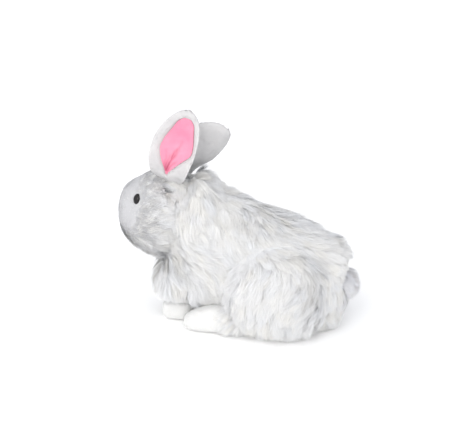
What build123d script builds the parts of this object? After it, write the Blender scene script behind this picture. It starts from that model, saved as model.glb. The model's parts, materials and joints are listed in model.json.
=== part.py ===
from build123d import *
import os
from math import cos, radians, sin

# A crouching plush rabbit with upright ears, as its sewn panels, stuffing, eyes and stitching.
#
# Frame: the rabbit faces -Y, its left side is +X, +Z is up. The origin is on the surface it rests on,
# under the middle of its outline. All sizes are millimetres.

os.makedirs("parts", exist_ok=True)

# Skin: backing cloth with the dense foot of its pile
SKIN = 4.0
SHORT_SKIN = 3.0
SLACK = 1.0  # between a skin and the stuffing inside it

# Trunk: a barrel lofted along Y through upright ellipses (y, lowest z, highest z, half width)
TRUNK_STATIONS = [
    (-98, 33, 69, 17),
    (-90, 14, 108, 34),
    (-70, -4, 180, 45),
    (-52, -6, 200, 50),
    (-40, -6, 198, 52),
    (-20, -6, 175, 54),
    (15, -6, 157, 57),
    (60, -6, 141, 58),
    (105, -5, 119, 54),
    (128, 4, 112, 43),
    (143, 40, 98, 22),
]
BELLY_TOP = 16.0
CHEST_BACK = -74.0
SHELF_BACK = -44.0  # the chest's underside is lifted over the front paws as far back as this
SHELF_TOP = 30.0

# Head: an ellipsoid
HEAD_CENTRE = (0, -98, 142)
HEAD_RADII = (44, 54, 57)
GUSSET_HALF = 11.0  # the strip from the nose over the crown
CHIN_TOP = 108.0

# Haunches: ellipsoids, one each side
HAUNCH_CENTRE = (50, 58, 57)
HAUNCH_RADII = (37, 60, 59)

# Hind feet: a sock-shaped tube along Y
FOOT_X = 54.0
FOOT_STATIONS = [
    (-62, 8, 26, 8),
    (-56, 1, 34, 14.5),
    (-40, -3, 38, 18.5),
    (0, -3, 40, 19),
    (30, 2, 36, 15),
]

# Front paws: a short rounded tube that swings about an upright axis at its back end
PAW_X = 22.0
PAW_RADIUS = 14.5
PAW_PIVOT_Y = -66.0
PAW_REACH = 32.0
PAW_HEIGHT = 28.5

# Tail: a ball in a hollow of the rump, drawn out backwards
TAIL_PIVOT = (0, 130, 58)
TAIL_RADIUS = 16.5
TAIL_TIP_Y = 152.0
TAIL_HOLLOW = 20.5  # radius of the hollow, with room for the tail to tilt

# Ears: a leaf cut from three layers of a cupped sheet, turning about its root
EAR_PIVOT = (24, -84, 193)
EAR_LENGTH = 100.0
EAR_HALF_WIDTH = 30.0
EAR_WIDEST_AT = 47.0
EAR_ROOT = 14.0
EAR_MARGIN = 8.5
LEAF_BEHIND = 8.0  # the leaf is cut from the cupped layers between these two heights
LEAF_DEPTH = 34.0
LAYER_SPARE = 6.0  # the layers run past the root, and three times as far past the tip
EAR_CUP = 45.0  # radius of the cup at the middle layer
LINING_INNER = 41.5
LINING_OUTER = 44.0
STIFFENER_OUTER = 46.0
BACK_OUTER = 49.5
SOCKET_ROOM = 3.0  # round the root, for the leaf's widening edges to swing through
SOCKET_BEHIND = 7.0
SOCKET_AHEAD = 12.0
LEFT_EAR = {"lean": 14, "splay": 9, "turn": 4}
RIGHT_EAR = {"lean": 48, "splay": -12, "turn": 24}

# Eyes: an oval plastic dome on a shank, held by a washer inside the head
EYE_Y = -124.0
EYE_Z = 168.0
EYE_HALF_HEIGHT = 7.0
EYE_HALF_WIDTH = 5.4
EYE_DOME = 4.0
SHANK_RADIUS = 2.4
SHANK_LENGTH = 12.0
WASHER_RADIUS = 7.5
WASHER_DEPTH = 5.6
WASHER_THICK = 1.8

# Nose: a stitched patch at the front of the muzzle
NOSE_Z = 116.0
NOSE_RADII = (6.5, 3.0, 4.5)

FAR = 400.0  # larger than the toy, for cutting blocks


def barrel(stations, inset, x=0.0, straight=False):
    """A solid lofted along Y through upright ellipses, drawn in by inset on every side."""
    middle = (stations[0][0] + stations[-1][0]) / 2
    shrink = 1 - inset / (stations[-1][0] - middle)
    with BuildPart() as form:
        for y, low, high, half in stations:
            with BuildSketch(Plane.XZ.offset(-(middle + (y - middle) * shrink))):
                with Locations((x, (low + high) / 2)):
                    Ellipse(half - inset, (high - low) / 2 - inset)
        loft(ruled=straight)
    return form.part


def trunk_form(inset):
    """The whole trunk before the floor and the front paws are cut away."""
    return barrel(TRUNK_STATIONS, inset, straight=True)


def ellipsoid(centre, radii, inset=0.0):
    """An ellipsoid with its axes along X, Y and Z."""
    size = radii[2] - inset
    with BuildPart() as ball:
        Sphere(radius=size)
        scale(by=((radii[0] - inset) / size, (radii[1] - inset) / size, 1.0))
    with BuildPart() as form:
        with Locations(centre):
            add(ball.part)
    return form.part


def block(low, high):
    """A box between two corners."""
    sizes = [b - a for a, b in zip(low, high)]
    middle = tuple((a + b) / 2 for a, b in zip(low, high))
    with BuildPart() as form:
        with Locations(middle):
            Box(*sizes)
    return form.part


def joined(shape, keep=(), take_away=()):
    """A copy of shape kept inside every solid of keep and cut by every solid of take_away."""
    with BuildPart() as result:
        add(shape)
        for solid in keep:
            add(solid, mode=Mode.INTERSECT)
        for solid in take_away:
            add(solid, mode=Mode.SUBTRACT)
    return result.part


def mirrored(shape):
    """The same piece for the rabbit's other side."""
    with BuildPart() as other:
        mirror(shape, about=Plane.YZ)
    return other.part


def write(name, shape):
    """Label a finished piece and write its STEP file."""
    with BuildPart() as piece:
        add(shape)
    piece.part.label = name
    export_step(piece.part, f"parts/{name}.step")


# ---------------------------------------------------------------- cutting blocks
below_floor = block((-FAR, -FAR, -FAR), (FAR, FAR, 0))
below_skin = block((-FAR, -FAR, -FAR), (FAR, FAR, SKIN))
below_fill = block((-FAR, -FAR, -FAR), (FAR, FAR, SKIN + SLACK))
below_short_skin = block((-FAR, -FAR, -FAR), (FAR, FAR, SHORT_SKIN))
below_short_fill = block((-FAR, -FAR, -FAR), (FAR, FAR, SHORT_SKIN + SLACK))
paw_shelf = block((-FAR, -FAR, -FAR), (FAR, SHELF_BACK, SHELF_TOP))
paw_shelf_skin = block((-FAR, -FAR, -FAR), (FAR, SHELF_BACK + SKIN, SHELF_TOP + SKIN))
fill_back, fill_top = SHELF_BACK + SKIN + SLACK, SHELF_TOP + SKIN + SLACK
paw_shelf_fill = block((-FAR, -FAR, -FAR), (FAR, fill_back, fill_top))
trunk_left = block((0, CHEST_BACK, BELLY_TOP), (FAR, FAR, FAR))
trunk_right = block((-FAR, CHEST_BACK, BELLY_TOP), (0, FAR, FAR))
under_seam = block((-FAR, SHELF_BACK, -FAR), (FAR, FAR, BELLY_TOP))
chest_zone = block((-FAR, -FAR, -FAR), (FAR, CHEST_BACK, FAR))


# ---------------------------------------------------------------- ear placing
def ear_plane(side, lean, splay, turn):
    """Plane of one ear at its root: local Y runs to the tip, local Z out of the cup."""
    lean_r, splay_r, turn_r = radians(lean), radians(splay), radians(turn)
    along = Vector(side * sin(splay_r), cos(splay_r) * sin(lean_r), cos(splay_r) * cos(lean_r))
    outward = Vector(side, 0, 0)
    outward = (outward - along * outward.dot(along)).normalized()
    forward = along.cross(outward)
    if forward.Y > 0:
        forward = forward * -1
    facing = outward * cos(turn_r) + forward * sin(turn_r)
    pivot = (side * EAR_PIVOT[0], EAR_PIVOT[1], EAR_PIVOT[2])
    return Plane(origin=pivot, x_dir=along.cross(facing), z_dir=facing)


def ear_leaf(plane, margin):
    """The leaf outline, drawn in by margin, as a prism across the ear's plane."""
    half = EAR_HALF_WIDTH - margin
    tip = EAR_LENGTH - margin
    with BuildPart() as prism:
        with BuildSketch(plane.offset(-LEAF_BEHIND)):
            with BuildLine():
                if margin:
                    Spline((0, 6), (half, EAR_WIDEST_AT), (0, tip), tangents=[(0.8, 1), (-1, 0)])
                    Spline((0, 6), (-half, EAR_WIDEST_AT), (0, tip), tangents=[(-0.8, 1), (1, 0)])
                else:
                    Spline((EAR_ROOT, 0), (half, EAR_WIDEST_AT), (0, tip), tangents=[(0.3, 1), (-1, 0)])
                    Spline((-EAR_ROOT, 0), (-half, EAR_WIDEST_AT), (0, tip), tangents=[(-0.3, 1), (1, 0)])
                    ThreePointArc((-EAR_ROOT, 0), (0, -EAR_ROOT), (EAR_ROOT, 0))
            make_face()
        extrude(amount=LEAF_DEPTH)
    return prism.part


def ear_layer(plane, inner, outer):
    """A tube wall about the cup's axis, long enough for the whole ear."""
    start = plane.origin + plane.z_dir * EAR_CUP - plane.y_dir * (EAR_ROOT + LAYER_SPARE)
    with BuildPart() as wall:
        with BuildSketch(Plane(origin=start, x_dir=plane.x_dir, z_dir=plane.y_dir)):
            Circle(outer)
            Circle(inner, mode=Mode.SUBTRACT)
        extrude(amount=EAR_ROOT + EAR_LENGTH + 4 * LAYER_SPARE)
    return wall.part


def ear_socket(plane):
    """The slit of the head that an ear's root turns in."""
    with BuildPart() as slit:
        with BuildSketch(plane.offset(-SOCKET_BEHIND)):
            Circle(EAR_ROOT + SOCKET_ROOM)
        extrude(amount=SOCKET_BEHIND + SOCKET_AHEAD)
    return slit.part


left_ear_plane = ear_plane(1, **LEFT_EAR)
right_ear_plane = ear_plane(-1, **RIGHT_EAR)
ear_sockets = [ear_socket(left_ear_plane), ear_socket(right_ear_plane)]

# ---------------------------------------------------------------- overall forms
with BuildPart() as tail_hollow:
    with Locations(TAIL_PIVOT):
        Sphere(radius=TAIL_HOLLOW)

trunk_outer = joined(trunk_form(0), take_away=[below_floor, paw_shelf])
trunk_inner = joined(trunk_form(SKIN), take_away=[below_skin, paw_shelf_skin])
trunk_fill = joined(trunk_form(SKIN + SLACK), take_away=[below_fill, paw_shelf_fill])
head_outer = ellipsoid(HEAD_CENTRE, HEAD_RADII)
head_inner = ellipsoid(HEAD_CENTRE, HEAD_RADII, SKIN)
head_fill = ellipsoid(HEAD_CENTRE, HEAD_RADII, SKIN + SLACK)
haunch_outer = joined(ellipsoid(HAUNCH_CENTRE, HAUNCH_RADII), take_away=[below_floor])
haunch_inner = joined(ellipsoid(HAUNCH_CENTRE, HAUNCH_RADII, SKIN), take_away=[below_skin])
haunch_fill = joined(ellipsoid(HAUNCH_CENTRE, HAUNCH_RADII, SKIN + SLACK), take_away=[below_fill])
foot_outer = joined(barrel(FOOT_STATIONS, 0, FOOT_X), take_away=[below_floor])
foot_inner = joined(barrel(FOOT_STATIONS, SHORT_SKIN, FOOT_X), take_away=[below_short_skin])
foot_fill = joined(barrel(FOOT_STATIONS, SHORT_SKIN + SLACK, FOOT_X), take_away=[below_short_fill])

# ---------------------------------------------------------------- trunk panels and stuffing
trunk_cuts = [tail_hollow.part, *ear_sockets]
trunk_skin = joined(trunk_outer, take_away=[trunk_inner, *trunk_cuts])
write("belly_panel", joined(trunk_skin, keep=[under_seam]))
write("chest_panel", joined(trunk_skin, keep=[chest_zone]))
write("body_side_left", joined(trunk_skin, keep=[trunk_left]))
write("body_side_right", joined(trunk_skin, keep=[trunk_right]))
write("body_stuffing", joined(trunk_fill, take_away=trunk_cuts))


# ---------------------------------------------------------------- eyes
def eye_seat():
    """Plane on the head's left side, facing straight out of the skin under the eye."""
    cx, cy, cz = HEAD_CENTRE
    rx, ry, rz = HEAD_RADII
    dy, dz = (EYE_Y - cy) / ry, (EYE_Z - cz) / rz
    dx = (1 - dy * dy - dz * dz) ** 0.5
    outward = Vector(dx / rx, dy / ry, dz / rz).normalized()
    upward = (Vector(0, 0, 1) - outward * outward.Z).normalized()
    return Plane(origin=(cx + dx * rx, EYE_Y, EYE_Z), x_dir=upward.cross(outward), z_dir=outward)


seat = eye_seat()
with BuildPart() as eye_dome:
    Sphere(radius=EYE_HALF_HEIGHT)
    scale(by=(EYE_HALF_WIDTH / EYE_HALF_HEIGHT, 1.0, EYE_DOME / EYE_HALF_HEIGHT))
    split(bisect_by=Plane.XY, keep=Keep.TOP)
with BuildPart() as eye:
    add(eye_dome.part.moved(seat.location))
    with BuildSketch(seat):
        Circle(SHANK_RADIUS)
    extrude(amount=-SHANK_LENGTH)
with BuildPart() as washer:
    with BuildSketch(seat.offset(-WASHER_DEPTH)):
        Circle(WASHER_RADIUS)
        Circle(SHANK_RADIUS, mode=Mode.SUBTRACT)
    extrude(amount=-WASHER_THICK)
write("eye_left", eye.part)
write("eye_right", mirrored(eye.part))
write("eye_washer_left", washer.part)
write("eye_washer_right", mirrored(washer.part))

# ---------------------------------------------------------------- nose
nose_y = HEAD_CENTRE[1] - HEAD_RADII[1] * (1 - ((NOSE_Z - HEAD_CENTRE[2]) / HEAD_RADII[2]) ** 2) ** 0.5
nose_form = ellipsoid((0, nose_y + 1.4, NOSE_Z), NOSE_RADII)
write("nose_stitching", joined(nose_form, take_away=[head_outer]))

# ---------------------------------------------------------------- head panels and stuffing
head_cuts = [*ear_sockets, eye.part, mirrored(eye.part)]
head_skin = joined(head_outer, take_away=[head_inner, *head_cuts, trunk_outer])
chin_zone = block((-FAR, -FAR, -FAR), (FAR, FAR, CHIN_TOP))
gusset_zone = block((-GUSSET_HALF, -FAR, CHIN_TOP), (GUSSET_HALF, FAR, FAR))
left_cheek = block((GUSSET_HALF, -FAR, CHIN_TOP), (FAR, FAR, FAR))
right_cheek = block((-FAR, -FAR, CHIN_TOP), (-GUSSET_HALF, FAR, FAR))
write("chin_panel", joined(head_skin, keep=[chin_zone]))
write("head_gusset", joined(head_skin, keep=[gusset_zone]))
write("head_side_left", joined(head_skin, keep=[left_cheek]))
write("head_side_right", joined(head_skin, keep=[right_cheek]))
washers = [washer.part, mirrored(washer.part)]
write("head_stuffing", joined(head_fill, take_away=[*head_cuts, *washers, trunk_outer]))

# ---------------------------------------------------------------- haunches and hind feet
haunch_skin = joined(haunch_outer, take_away=[haunch_inner, trunk_outer])
haunch_stuffing = joined(haunch_fill, take_away=[trunk_outer])
foot_cuts = [haunch_outer, trunk_outer]
foot_skin = joined(foot_outer, take_away=[foot_inner, *foot_cuts])
foot_stuffing = joined(foot_fill, take_away=foot_cuts)
for name, shape in (
    ("haunch_cover", haunch_skin),
    ("haunch_stuffing", haunch_stuffing),
    ("hind_foot_cover", foot_skin),
    ("hind_foot_stuffing", foot_stuffing),
):
    write(f"{name}_left", shape)
    write(f"{name}_right", mirrored(shape))


# ---------------------------------------------------------------- front paws
def paw_form(inset):
    """A rounded tube lying along Y, round at its back end about the swing axis."""
    radius = PAW_RADIUS - inset
    inner, outer = PAW_X - radius, PAW_X + radius
    toe = PAW_PIVOT_Y - PAW_REACH
    toe_start = toe + PAW_RADIUS
    with BuildPart() as form:
        with BuildSketch(Plane.XY.offset(inset)):
            with BuildLine():
                Line((inner, PAW_PIVOT_Y), (inner, toe_start))
                ThreePointArc((inner, toe_start), (PAW_X, toe + inset), (outer, toe_start))
                Line((outer, toe_start), (outer, PAW_PIVOT_Y))
                ThreePointArc((outer, PAW_PIVOT_Y), (PAW_X, PAW_PIVOT_Y + radius), (inner, PAW_PIVOT_Y))
            make_face()
        extrude(amount=PAW_HEIGHT - 2 * inset)
        fillet(form.faces().sort_by(Axis.Z)[-1].edges(), radius=radius * 0.75)
        fillet(form.faces().sort_by(Axis.Z)[0].edges(), radius=radius * 0.45)
    return form.part


paw_cover = joined(paw_form(0), take_away=[paw_form(SHORT_SKIN)])
paw_stuffing = paw_form(SHORT_SKIN + SLACK)
for name, shape in (("front_paw_cover", paw_cover), ("front_paw_stuffing", paw_stuffing)):
    write(f"{name}_left", shape)
    write(f"{name}_right", mirrored(shape))


# ---------------------------------------------------------------- tail
def tail_form(inset):
    """A ball about the tail's pivot, drawn out to a blunt tip behind."""
    radius = TAIL_RADIUS - inset
    reach = TAIL_TIP_Y - TAIL_PIVOT[1] - inset
    axis_start = Vector(*TAIL_PIVOT)
    with BuildPart() as form:
        with BuildSketch(Plane(origin=axis_start, x_dir=(0, 1, 0), z_dir=(1, 0, 0))):
            with BuildLine():
                CenterArc((0, 0), radius, 90, 90)
                Line((-radius, 0), (reach, 0))
                EllipticalCenterArc((0, 0), reach, radius, 0, arc_size=90)
            make_face()
        revolve(axis=Axis(axis_start, (0, 1, 0)))
    return form.part


write("tail_cover", joined(tail_form(0), take_away=[tail_form(SKIN)]))
write("tail_stuffing", tail_form(SKIN + SLACK))

# ---------------------------------------------------------------- ears
for side_name, plane in (("left", left_ear_plane), ("right", right_ear_plane)):
    whole = ear_leaf(plane, 0.0)
    middle = ear_leaf(plane, EAR_MARGIN)
    lining = joined(ear_layer(plane, LINING_INNER, LINING_OUTER), keep=[middle])
    stiffener = joined(ear_layer(plane, LINING_OUTER, STIFFENER_OUTER), keep=[middle])
    pocket = joined(ear_layer(plane, LINING_INNER, STIFFENER_OUTER), keep=[middle])
    back = joined(ear_layer(plane, LINING_INNER, BACK_OUTER), keep=[whole], take_away=[pocket])
    write(f"ear_lining_{side_name}", lining)
    write(f"ear_stiffener_{side_name}", stiffener)
    write(f"ear_back_{side_name}", back)
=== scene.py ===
"""Looks for the plush rabbit: padded forms, combed fur, velvety pile, lined ears, eyes and nose."""

import json
import math

import bmesh
import bpy
import numpy as np
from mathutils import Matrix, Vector
from mathutils.bvhtree import BVHTree
from mathutils.kdtree import KDTree


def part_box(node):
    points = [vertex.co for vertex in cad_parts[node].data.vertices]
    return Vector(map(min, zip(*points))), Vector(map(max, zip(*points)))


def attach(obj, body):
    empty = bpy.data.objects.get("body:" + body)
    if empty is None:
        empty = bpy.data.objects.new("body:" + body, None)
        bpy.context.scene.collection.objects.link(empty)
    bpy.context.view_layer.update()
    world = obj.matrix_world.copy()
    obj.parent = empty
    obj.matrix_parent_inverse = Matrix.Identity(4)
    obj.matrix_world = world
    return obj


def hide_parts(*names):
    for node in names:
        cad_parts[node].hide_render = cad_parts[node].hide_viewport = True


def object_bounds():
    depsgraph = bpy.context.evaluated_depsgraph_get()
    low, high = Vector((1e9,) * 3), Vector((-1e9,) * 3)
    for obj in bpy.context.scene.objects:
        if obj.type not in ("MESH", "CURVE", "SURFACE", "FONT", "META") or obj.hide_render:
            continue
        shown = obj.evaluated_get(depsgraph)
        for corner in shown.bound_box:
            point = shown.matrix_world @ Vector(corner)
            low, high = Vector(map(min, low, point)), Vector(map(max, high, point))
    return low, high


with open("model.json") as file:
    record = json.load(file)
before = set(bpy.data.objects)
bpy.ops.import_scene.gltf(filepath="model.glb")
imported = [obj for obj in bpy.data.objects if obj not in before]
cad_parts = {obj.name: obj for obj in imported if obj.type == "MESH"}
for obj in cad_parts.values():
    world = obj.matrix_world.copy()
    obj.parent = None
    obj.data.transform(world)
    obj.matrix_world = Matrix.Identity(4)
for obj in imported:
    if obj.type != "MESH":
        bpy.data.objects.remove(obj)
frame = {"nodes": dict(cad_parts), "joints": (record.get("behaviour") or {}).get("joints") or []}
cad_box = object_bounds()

MM = 0.001
SEED = 11
FLOOR_CLEAR = 0.4 * MM
FUR_PROUD = 12 * MM  # the furthest that hair stands outside the sewn shape at its sides
TAIL_PROUD = 17 * MM  # and behind it
ROOT_DEPTH = 0.8 * MM  # how deep in the skin a hair starts
TORSO_SET_OUT = 2.6 * MM  # what the cloth simulation takes off the torso all over
LINING_FROM, LINING_TO = 0.07, 0.9  # where the pink lining starts and ends, as shares of an ear's length
CREASE_WIDTH = 1.5 * MM
DEEPEST_CREASE = 1.5 * MM  # crease depth at which the lining takes on its full painted crease shade
cad_low, cad_high = (np.array(corner) for corner in cad_box)

# ---------------------------------------------------------------- CAD nodes by family
TRUNK_NODES = ["body_side_left", "body_side_right", "belly_panel", "chest_panel", "body_stuffing"]
HEAD_NODES = ["head_side_left", "head_side_right", "head_gusset", "chin_panel", "head_stuffing"]
SIDES = (("left", 1), ("right", -1))
SEWN = ("cover", "stuffing")
HAUNCH_NODES = [f"haunch_{part}_{side}" for part in SEWN for side, _ in SIDES]


# ---------------------------------------------------------------- small helpers
def unit(v):
    """Rows scaled to length one."""
    return v / np.maximum(np.linalg.norm(v, axis=-1, keepdims=True), 1e-12)


def node_mesh(names):
    """Joined vertices (metres) and triangles of some CAD nodes."""
    verts, faces, start = [], [], 0
    for name in names:
        obj = frame["nodes"][name]
        mesh = obj.data
        mesh.calc_loop_triangles()
        co = np.empty(len(mesh.vertices) * 3)
        mesh.vertices.foreach_get("co", co)
        tri = np.empty(len(mesh.loop_triangles) * 3, dtype=int)
        mesh.loop_triangles.foreach_get("vertices", tri)
        matrix = np.array(obj.matrix_world)
        verts.append(co.reshape(-1, 3) @ matrix[:3, :3].T + matrix[:3, 3])
        faces.append(tri.reshape(-1, 3) + start)
        start += len(mesh.vertices)
    return np.vstack(verts), np.vstack(faces)


def new_object(name, verts, faces, material=None):
    """A smoothly shaded mesh object from points and faces of any size."""
    mesh = bpy.data.meshes.new(name)
    mesh.from_pydata([tuple(v) for v in verts], [], [tuple(f) for f in faces])
    mesh.validate()
    obj = bpy.data.objects.new(name, mesh)
    bpy.context.scene.collection.objects.link(obj)
    if material:
        mesh.materials.append(material)
    shade_smooth(obj)
    return obj


def shade_smooth(obj):
    """Smooth shading on every face."""
    obj.data.polygons.foreach_set("use_smooth", [True] * len(obj.data.polygons))


def cover_with(obj, material):
    """The form's one material."""
    obj.data.materials.clear()
    obj.data.materials.append(material)


def applied(obj):
    """Bake the object's modifiers into its mesh."""
    graph = bpy.context.evaluated_depsgraph_get()
    graph.update()
    mesh = bpy.data.meshes.new_from_object(obj.evaluated_get(graph))
    obj.modifiers.clear()
    obj.data = mesh
    return obj


def points_of(obj):
    """Vertex places as rows."""
    co = np.empty(len(obj.data.vertices) * 3)
    obj.data.vertices.foreach_get("co", co)
    return co.reshape(-1, 3)


def vertex_normals(obj):
    """Vertex normals as rows."""
    normals = np.empty(len(obj.data.vertices) * 3)
    obj.data.vertices.foreach_get("normal", normals)
    return normals.reshape(-1, 3)


def move_points(obj, co):
    """Write vertex places back."""
    obj.data.vertices.foreach_set("co", np.asarray(co).ravel())
    obj.data.update()


def keep_largest_island(obj):
    """Drop every loose part of a mesh but the one with most vertices."""
    bm = bmesh.new()
    bm.from_mesh(obj.data)
    seen, islands = set(), []
    for first in bm.verts:
        if first in seen:
            continue
        stack, island = [first], []
        seen.add(first)
        while stack:
            vert = stack.pop()
            island.append(vert)
            for edge in vert.link_edges:
                other = edge.other_vert(vert)
                if other not in seen:
                    seen.add(other)
                    stack.append(other)
        islands.append(island)
    islands.sort(key=len)
    for island in islands[:-1]:
        bmesh.ops.delete(bm, geom=island, context="VERTS")
    bm.to_mesh(obj.data)
    bm.free()


def neighbour_mean(values, edges, counts):
    """Mean of each vertex's neighbours."""
    total = np.zeros_like(values)
    np.add.at(total, edges[:, 0], values[edges[:, 1]])
    np.add.at(total, edges[:, 1], values[edges[:, 0]])
    return total / counts


def relax(obj, rounds, spread):
    """Smooth a form's creases away, then swell it back to the size that smoothing cost it."""
    mesh = obj.data
    edges = np.empty(len(mesh.edges) * 2, dtype=int)
    mesh.edges.foreach_get("vertices", edges)
    edges = edges.reshape(-1, 2)
    counts = np.maximum(np.bincount(edges.ravel(), minlength=len(mesh.vertices)), 1)[:, None]
    start = points_of(obj)
    co = start.copy()
    for _ in range(rounds):
        co += 0.5 * (neighbour_mean(co, edges, counts) - co)
    move_points(obj, co)
    normals = vertex_normals(obj)
    lost = np.sum((start - co) * normals, axis=1)[:, None]
    for _ in range(spread):
        lost += 0.5 * (neighbour_mean(lost, edges, counts) - lost)
    move_points(obj, co + normals * lost)


def smooth_form(name, nodes, voxel, rounds, spread=20):
    """One closed, rounded form around some CAD nodes."""
    obj = new_object(name, *node_mesh(nodes))
    remesh = obj.modifiers.new("remesh", "REMESH")
    remesh.mode = "VOXEL"
    remesh.voxel_size = voxel
    applied(obj)
    keep_largest_island(obj)
    relax(obj, rounds, spread)
    co = points_of(obj)
    co[:, 2] = np.maximum(co[:, 2], min(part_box(name)[0][2] for name in nodes) + FLOOR_CLEAR)
    move_points(obj, co)
    shade_smooth(obj)
    return obj


PRESSURE = 4.0  # of the stuffing on the cloth
LAST_FRAME = 20  # of the cloth simulation


def puff(obj, drawn_in, most):
    """Fill the skin from inside as cloth: it starts drawn in, and no point ends further than most away."""
    start = points_of(obj) - vertex_normals(obj) * drawn_in
    move_points(obj, start)
    cloth = obj.modifiers.new("cloth", "CLOTH")
    cloth.settings.use_pressure = True
    cloth.settings.uniform_pressure_force = PRESSURE
    cloth.settings.effector_weights.gravity = 0.0
    for number in range(1, LAST_FRAME + 1):
        bpy.context.scene.frame_set(number)
    applied(obj)
    moved = points_of(obj) - start
    far = np.linalg.norm(moved, axis=1, keepdims=True)
    place = start + moved * np.minimum(1.0, most / np.maximum(far, 1e-9))
    place[:, 2] = np.maximum(place[:, 2], FLOOR_CLEAR)
    move_points(obj, place)
    bpy.context.scene.frame_set(1)


def refine(obj):
    """Split every face in four and round the form off."""
    finer = obj.modifiers.new("finer", "SUBSURF")
    finer.levels = 1
    applied(obj)
    shade_smooth(obj)


def along_curve(s, places, values, blur=0.04):
    """Values read between a few places, with the corners rounded off over the width of blur."""
    shifts = (-1, -0.6, -0.2, 0.2, 0.6, 1)
    return np.mean([np.interp(s + shift * blur, places, values) for shift in shifts], axis=0)


def waves(points, scale, seed, count=7):
    """Smooth noise from -1 to 1: a few sine waves in random directions; scale is the wavelength."""
    draw = np.random.default_rng(seed)
    total = np.zeros(len(points))
    for _ in range(count):
        way = draw.normal(size=3)
        way /= np.linalg.norm(way)
        length = scale * draw.uniform(0.7, 1.5)
        total += np.sin(points @ way * (2 * math.pi / length) + draw.uniform(0, 2 * math.pi))
    return total / math.sqrt(count) / 1.2


# ---------------------------------------------------------------- materials
def start_material(name):
    """A new material, its node tree and its shader."""
    material = bpy.data.materials.new(name)
    material.use_nodes = True
    tree = material.node_tree
    shader = tree.nodes["Principled BSDF"]
    return material, tree, shader


def noise_node(tree, scale, detail=3.0, roughness=0.55):
    """Noise on object coordinates."""
    coords = tree.nodes.new("ShaderNodeTexCoord")
    noise = tree.nodes.new("ShaderNodeTexNoise")
    noise.inputs["Scale"].default_value = scale
    noise.inputs["Detail"].default_value = detail
    noise.inputs["Roughness"].default_value = roughness
    tree.links.new(coords.outputs["Object"], noise.inputs["Vector"])
    return noise


def ramp_node(tree, source, stops):
    """A colour ramp read from source; stops are (place, colour)."""
    ramp = tree.nodes.new("ShaderNodeValToRGB")
    for end, (place, colour) in zip(ramp.color_ramp.elements, (stops[0], stops[-1])):
        end.position = place
        end.color = (*colour, 1)
    for place, colour in stops[1:-1]:
        ramp.color_ramp.elements.new(place).color = (*colour, 1)
    tree.links.new(source, ramp.inputs["Fac"])
    return ramp


def bump_from(tree, shader, height, strength, distance):
    """Bump on the shader from a height."""
    bump = tree.nodes.new("ShaderNodeBump")
    bump.inputs["Strength"].default_value = strength
    bump.inputs["Distance"].default_value = distance
    tree.links.new(height, bump.inputs["Height"])
    tree.links.new(bump.outputs["Normal"], shader.inputs["Normal"])


def fur_material(name, root, middle, tip, warm, cool, sheen):
    """Strand colour from root to tip, darker at the root as painted shade deep in the coat, with a tint per
    strand and per tuft.
    """
    material, tree, shader = start_material(name)
    data = tree.nodes.new("ShaderNodeAttribute")
    data.attribute_name = "fur"
    parts = tree.nodes.new("ShaderNodeSeparateColor")
    tree.links.new(data.outputs["Color"], parts.inputs["Color"])
    # painted shade: the root colour is darker than the tip, standing in for the shade deep down in the coat
    along = ramp_node(tree, parts.outputs["Red"], [(0.0, root), (0.45, middle), (1.0, tip)])
    tint = ramp_node(tree, parts.outputs["Blue"], [(0.0, cool), (0.5, (1, 1, 1)), (1.0, warm)])
    shade = ramp_node(tree, parts.outputs["Green"], [(0.0, (0.9, 0.9, 0.905)), (1.0, (1.0, 1.0, 1.0))])
    first, second = (tree.nodes.new("ShaderNodeMix") for _ in range(2))
    for mix in (first, second):
        mix.data_type = "RGBA"
        mix.blend_type = "MULTIPLY"
        mix.inputs["Factor"].default_value = 1.0
    tree.links.new(along.outputs["Color"], first.inputs["A"])
    tree.links.new(tint.outputs["Color"], first.inputs["B"])
    tree.links.new(first.outputs["Result"], second.inputs["A"])
    tree.links.new(shade.outputs["Color"], second.inputs["B"])
    tree.links.new(second.outputs["Result"], shader.inputs["Base Color"])
    shader.inputs["Roughness"].default_value = 0.55
    shader.inputs["Specular IOR Level"].default_value = 0.25
    shader.inputs["Sheen Weight"].default_value = sheen
    shader.inputs["Sheen Roughness"].default_value = 0.5
    return material


def pile_material(name, light, dark, scale=420.0, bump=0.6, sheen=0.35):
    """Dense cut pile seen as cloth: mottled colour and a fine nap."""
    material, tree, shader = start_material(name)
    patches = noise_node(tree, 38.0, 4.0)
    colour = ramp_node(tree, patches.outputs["Fac"], [(0.3, dark), (0.7, light)])
    tree.links.new(colour.outputs["Color"], shader.inputs["Base Color"])
    nap = noise_node(tree, scale, 4.0, 0.7)
    bump_from(tree, shader, nap.outputs["Fac"], bump, 0.0009)
    shader.inputs["Roughness"].default_value = 0.85
    shader.inputs["Specular IOR Level"].default_value = 0.2
    shader.inputs["Sheen Weight"].default_value = sheen
    shader.inputs["Sheen Roughness"].default_value = 0.4
    return material


def plastic_material(name, colour, roughness, coat):
    """Moulded plastic with a slight uneven gloss."""
    material, tree, shader = start_material(name)
    clouds = noise_node(tree, 300.0, 2.0)
    brighter = tuple(min(1.0, c * 1.5 + 0.002) for c in colour)
    tone = ramp_node(tree, clouds.outputs["Fac"], [(0.35, colour), (0.75, brighter)])
    tree.links.new(tone.outputs["Color"], shader.inputs["Base Color"])
    ripple = noise_node(tree, 120.0, 1.0)
    bump_from(tree, shader, ripple.outputs["Fac"], 0.04, 0.0004)
    shader.inputs["Roughness"].default_value = roughness
    shader.inputs["Specular IOR Level"].default_value = 0.3
    shader.inputs["Coat Weight"].default_value = coat
    shader.inputs["Coat Roughness"].default_value = 0.04
    return material


WHITE_FUR = fur_material("white_long_fur", (0.78, 0.78, 0.79), (0.88, 0.88, 0.875), (0.95, 0.95, 0.945),
                         (1.0, 0.99, 0.965), (0.97, 0.98, 1.0), 0.1)


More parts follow.
